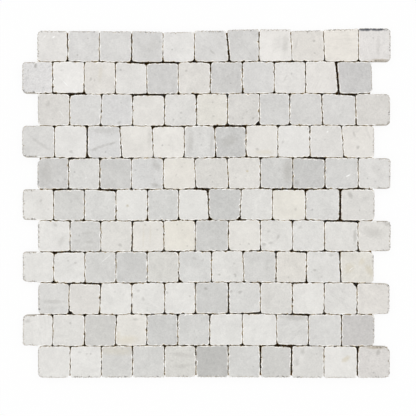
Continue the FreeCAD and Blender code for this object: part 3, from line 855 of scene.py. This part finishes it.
def yarn_surface(path, sideways, half_width, half_thickness):
    """Rows of points round yarns that follow a path: path + sideways w cos t + upward h sin t, closed at both
    ends by a point on the path."""
    turns = 2 * np.pi * np.arange(YARN_AROUND) / YARN_AROUND
    upward = np.array([0, 0, 1])
    ring = np.outer(np.cos(turns) * half_width, sideways) + np.outer(np.sin(turns) * half_thickness, upward)
    rows = path[:, :, None, :] + ring
    return rows, path[:, [0, -1], :]


def fibre_places(rows, run):
    """How far each point is along its yarn, which side of it, and which yarn, for the fibres of the
    finish."""
    strands, rings, around = rows.shape[:3]
    along = np.broadcast_to(run[None, :, None], (strands, rings, around))
    side = np.broadcast_to(np.abs(np.arange(around) - around / 2), (strands, rings, around))
    strand = np.broadcast_to(np.arange(strands)[:, None, None], (strands, rings, around))
    inner = np.stack([along, side, strand], axis=-1).reshape(strands, -1, 3)
    ends = np.stack([inner[:, 0], inner[:, -1]], axis=1)
    return np.concatenate([inner, ends], axis=1).reshape(-1, 3)


def glass_yarn():
    """Bright glass yarn: fine fibres along it, thin places in the size that coats them, and a silky gloss."""
    material, tree = new_material("glass_yarn")
    place = carried_value(tree, "fibre_place", "Vector")
    fibres = noise(tree, stretched(tree, place, FIBRE_SCALES), 1, 3)
    size = noise(tree, place, 0.12, 2)
    level = times(tree, fibres, 0.9, times(tree, size, 0.8, 0.5))
    colour = layer(tree, level, full_colour(DULL_YARN), full_colour(BRIGHT_YARN))
    roughness = times(tree, fibres, 0.3, 0.34)
    surface_of(tree, {"Base Color": colour, "Roughness": roughness, "Normal": bumps(tree, fibres, 0.6, 0.08)})
    return material


net_yarn = glass_yarn()

weft_places, weft_run = yarn_places("net_weft", 1, WEFT_SAMPLES)
weft_path = np.zeros((len(weft_places), len(weft_run), 3))
weft_path[..., 0] = weft_run
weft_path[..., 1] = weft_places[:, None]
weft_path[..., 2] = NET_MIDDLE
weft_rows, weft_poles = yarn_surface(weft_path, (0, -1, 0), WEFT_HALF_WIDTH, WEFT_HALF_THICKNESS)
net_weft_yarns = closed_shapes("net_weft_yarns", weft_rows, weft_poles)
carry(net_weft_yarns, "fibre_place", fibre_places(weft_rows, weft_run))
net_weft_yarns.data.materials.append(net_yarn)
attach(net_weft_yarns, BODY)
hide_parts("net_weft")

warp_places, warp_run = yarn_places("net_warp", 0, WARP_SAMPLES)
warp_turn = np.pi * warp_run / NET_PITCH
pair = np.array([1, -1])[None, :, None]
warp_path = np.zeros((len(warp_places), 2, len(warp_run), 3))
warp_path[..., 0] = warp_places[:, None, None] + pair * WARP_SWING[0] * np.sin(warp_turn)
warp_path[..., 1] = warp_run
warp_path[..., 2] = NET_MIDDLE + pair * WARP_SWING[1] * np.cos(warp_turn)
warp_path = warp_path.reshape(-1, len(warp_run), 3)
warp_rows, warp_poles = yarn_surface(warp_path, (1, 0, 0), WARP_HALF_WIDTH, WARP_HALF_THICKNESS)
net_warp_yarns = closed_shapes("net_warp_yarns", warp_rows, warp_poles)
carry(net_warp_yarns, "fibre_place", fibre_places(warp_rows, warp_run))
net_warp_yarns.data.materials.append(net_yarn)
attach(net_warp_yarns, BODY)
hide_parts("net_warp")

# Floor
# A plain white studio floor. Round the sheet the camera sees it nearly white, with a faint soft shadow. Under
# the sheet lies a brown patch of painted shade, cut to its stepped outline a little inside its edge, which
# shows only as the dark depth of the joints.
FLOOR_REACH = 8000  # mm each way
UNDER_EDGE = 1.2  # mm that the painted shade stays inside the sheet's edge
UNDER_LAP = 0.3  # mm that it reaches past a stone within a course
UNDER_LIFT = 0.004  # mm that the painted shade lies over the floor
# brown painted shade, laid under the sheet so that the depth of its joints looks dark
UNDER_PAINTED_SHADE = (152, 114, 60)
FLOOR_SHADE = (246, 246, 246)
FLOOR_GLOW = 0.93  # share of the white that the camera sees without any shadow


def side_of_shade_sheet(stones, outward):
    """The painted shade's steps down one side of the sheet, from the sides of its courses' end stones. Where a
    course stands out past the next one, the step lies at its foot, and otherwise at the top of the next one."""
    edges = [block[:, 0].max() if outward > 0 else block[:, 0].min() for block in stones]
    tops = [block[:, 1].max() for block in stones]
    bottoms = [block[:, 1].min() for block in stones]
    steps = []
    for upper in range(len(edges) - 1):
        stands_out = outward * (edges[upper] - edges[upper + 1]) > 0
        level = bottoms[upper] + UNDER_EDGE if stands_out else tops[upper + 1] - UNDER_EDGE
        steps += [(edge - outward * UNDER_EDGE, level) for edge in edges[upper : upper + 2]]
    return steps


def end_of_shade_sheet(blocks, outward):
    """Steps of the painted shade along the sheet's top or bottom, from stone to stone of that course."""
    steps = []
    for block in blocks:
        level = (block[:, 1].max() if outward > 0 else block[:, 1].min()) - outward * UNDER_EDGE
        left = block[:, 0].min() + (UNDER_EDGE if block is blocks[0] else -UNDER_LAP)
        right = block[:, 0].max() - (UNDER_EDGE if block is blocks[-1] else -UNDER_LAP)
        steps += [(left, level), (right, level)]
    return steps


left_side = side_of_shade_sheet([blocks[0] for blocks in course_blocks], -1)
right_side = side_of_shade_sheet([blocks[-1] for blocks in course_blocks], 1)
shade_sheet = end_of_shade_sheet(course_blocks[0], 1) + right_side
shade_sheet += end_of_shade_sheet(course_blocks[-1], -1)[::-1] + left_side[::-1]
floor_corners = ((-1, -1), (1, -1), (1, 1), (-1, 1))
floor_points = [(x * FLOOR_REACH, y * FLOOR_REACH, 0) for x, y in floor_corners]
floor_points += [(x, y, UNDER_LIFT) for x, y in reversed(shade_sheet)]
floor_mesh = bpy.data.meshes.new("floor")
floor_faces = [(0, 1, 2, 3), tuple(range(4, len(floor_points)))]
floor_mesh.from_pydata((np.array(floor_points) * MM).tolist(), [], floor_faces)
floor = placed("floor", floor_mesh)


def seen_straight(tree):
    """1 for what the camera sees straight, in a mirror or through glass, and 0 for light on its way."""
    path = node(tree, "LightPath").outputs
    seen = sums(tree, "MAXIMUM", path["Is Camera Ray"], path["Is Glossy Ray"])
    return sums(tree, "MAXIMUM", seen, path["Is Transmission Ray"])


def floor_paint(name, shade, glow):
    """Plain paint. To the camera, a share of it glows white, and the rest takes light and shadow."""
    material, tree = new_material(name)
    paint_shader = node(tree, "BsdfDiffuse", {"Color": full_colour(shade)}).outputs[0]
    white = node(tree, "Emission", {"Color": (1, 1, 1, 1), "Strength": 1}).outputs[0]
    share = sums(tree, "MULTIPLY", seen_straight(tree), glow)
    surface = node(tree, "MixShader", {0: share, 1: paint_shader, 2: white}).outputs[0]
    node(tree, "OutputMaterial", {"Surface": surface})
    return material


floor_mesh.materials.append(floor_paint("floor_paint", FLOOR_SHADE, FLOOR_GLOW))
# The second face of the floor is brown painted shade, seen only through the joints.
floor_mesh.materials.append(floor_paint("painted_shade_under_sheet", UNDER_PAINTED_SHADE, 0))
floor_mesh.polygons.foreach_set("material_index", [0, 1])

# Studio light
# Four broad soft lamps from high up at the corners and an even white surround. Together they light a level
# surface so that its colour renders about as it is written, and little of their light gets down into the
# joints.
SURROUND = 0.42  # of the light on a level surface
LAMP_SHARES = (0.17, 0.16, 0.13, 0.12)
LAMP_TURNS = (45, 135, 225, 315)  # degrees round the sheet, from +X
LAMP_TILT = 33  # degrees down from straight above
LAMP_WIDTH = 30  # degrees across, as the sheet sees it

for number, (share, turn) in enumerate(zip(LAMP_SHARES, LAMP_TURNS), start=1):
    lamp_data = bpy.data.lights.new(f"lamp_{number}", "SUN")
    lamp_data.energy = math.pi * share / math.cos(math.radians(LAMP_TILT))
    lamp_data.angle = math.radians(LAMP_WIDTH)
    lamp = placed(f"lamp_{number}", lamp_data)
    lamp.rotation_euler = (math.radians(LAMP_TILT), 0, math.radians(turn + 90))

world = bpy.data.worlds.new("surround")
bpy.context.scene.world = world
world.use_nodes = True
world_tree = world.node_tree
world_tree.nodes.clear()
world_level = times(world_tree, seen_straight(world_tree), 1 - SURROUND, SURROUND)
world_light = node(world_tree, "Background", {"Color": (1, 1, 1, 1), "Strength": world_level}).outputs[0]
node(world_tree, "OutputWorld", {"Surface": world_light})

# Camera
# Straight above the sheet and far off, so that the sides of the stones hardly show. The picture is 416 pixels
# square, and the sheet's middle lies a little above and left of the picture's middle.
MM_PER_PIXEL = 0.868
PICTURE_SIDE = 416
SHEET_MIDDLE = (206.9, 204.3)  # pixels from the picture's left and top to the sheet's origin
CAMERA_HEIGHT = 1500  # mm above the faces
camera_data = bpy.data.cameras.new("camera")
camera_data.sensor_width = 36
camera_data.lens = camera_data.sensor_width * CAMERA_HEIGHT / (PICTURE_SIDE * MM_PER_PIXEL)
camera = placed("camera", camera_data)
camera.location = (
    (PICTURE_SIDE / 2 - SHEET_MIDDLE[0]) * MM_PER_PIXEL * MM,
    (SHEET_MIDDLE[1] - PICTURE_SIDE / 2) * MM_PER_PIXEL * MM,
    cad_box[1].z + CAMERA_HEIGHT * MM,
)
bpy.context.scene.camera = camera
bpy.context.scene.view_settings.view_transform = "Standard"
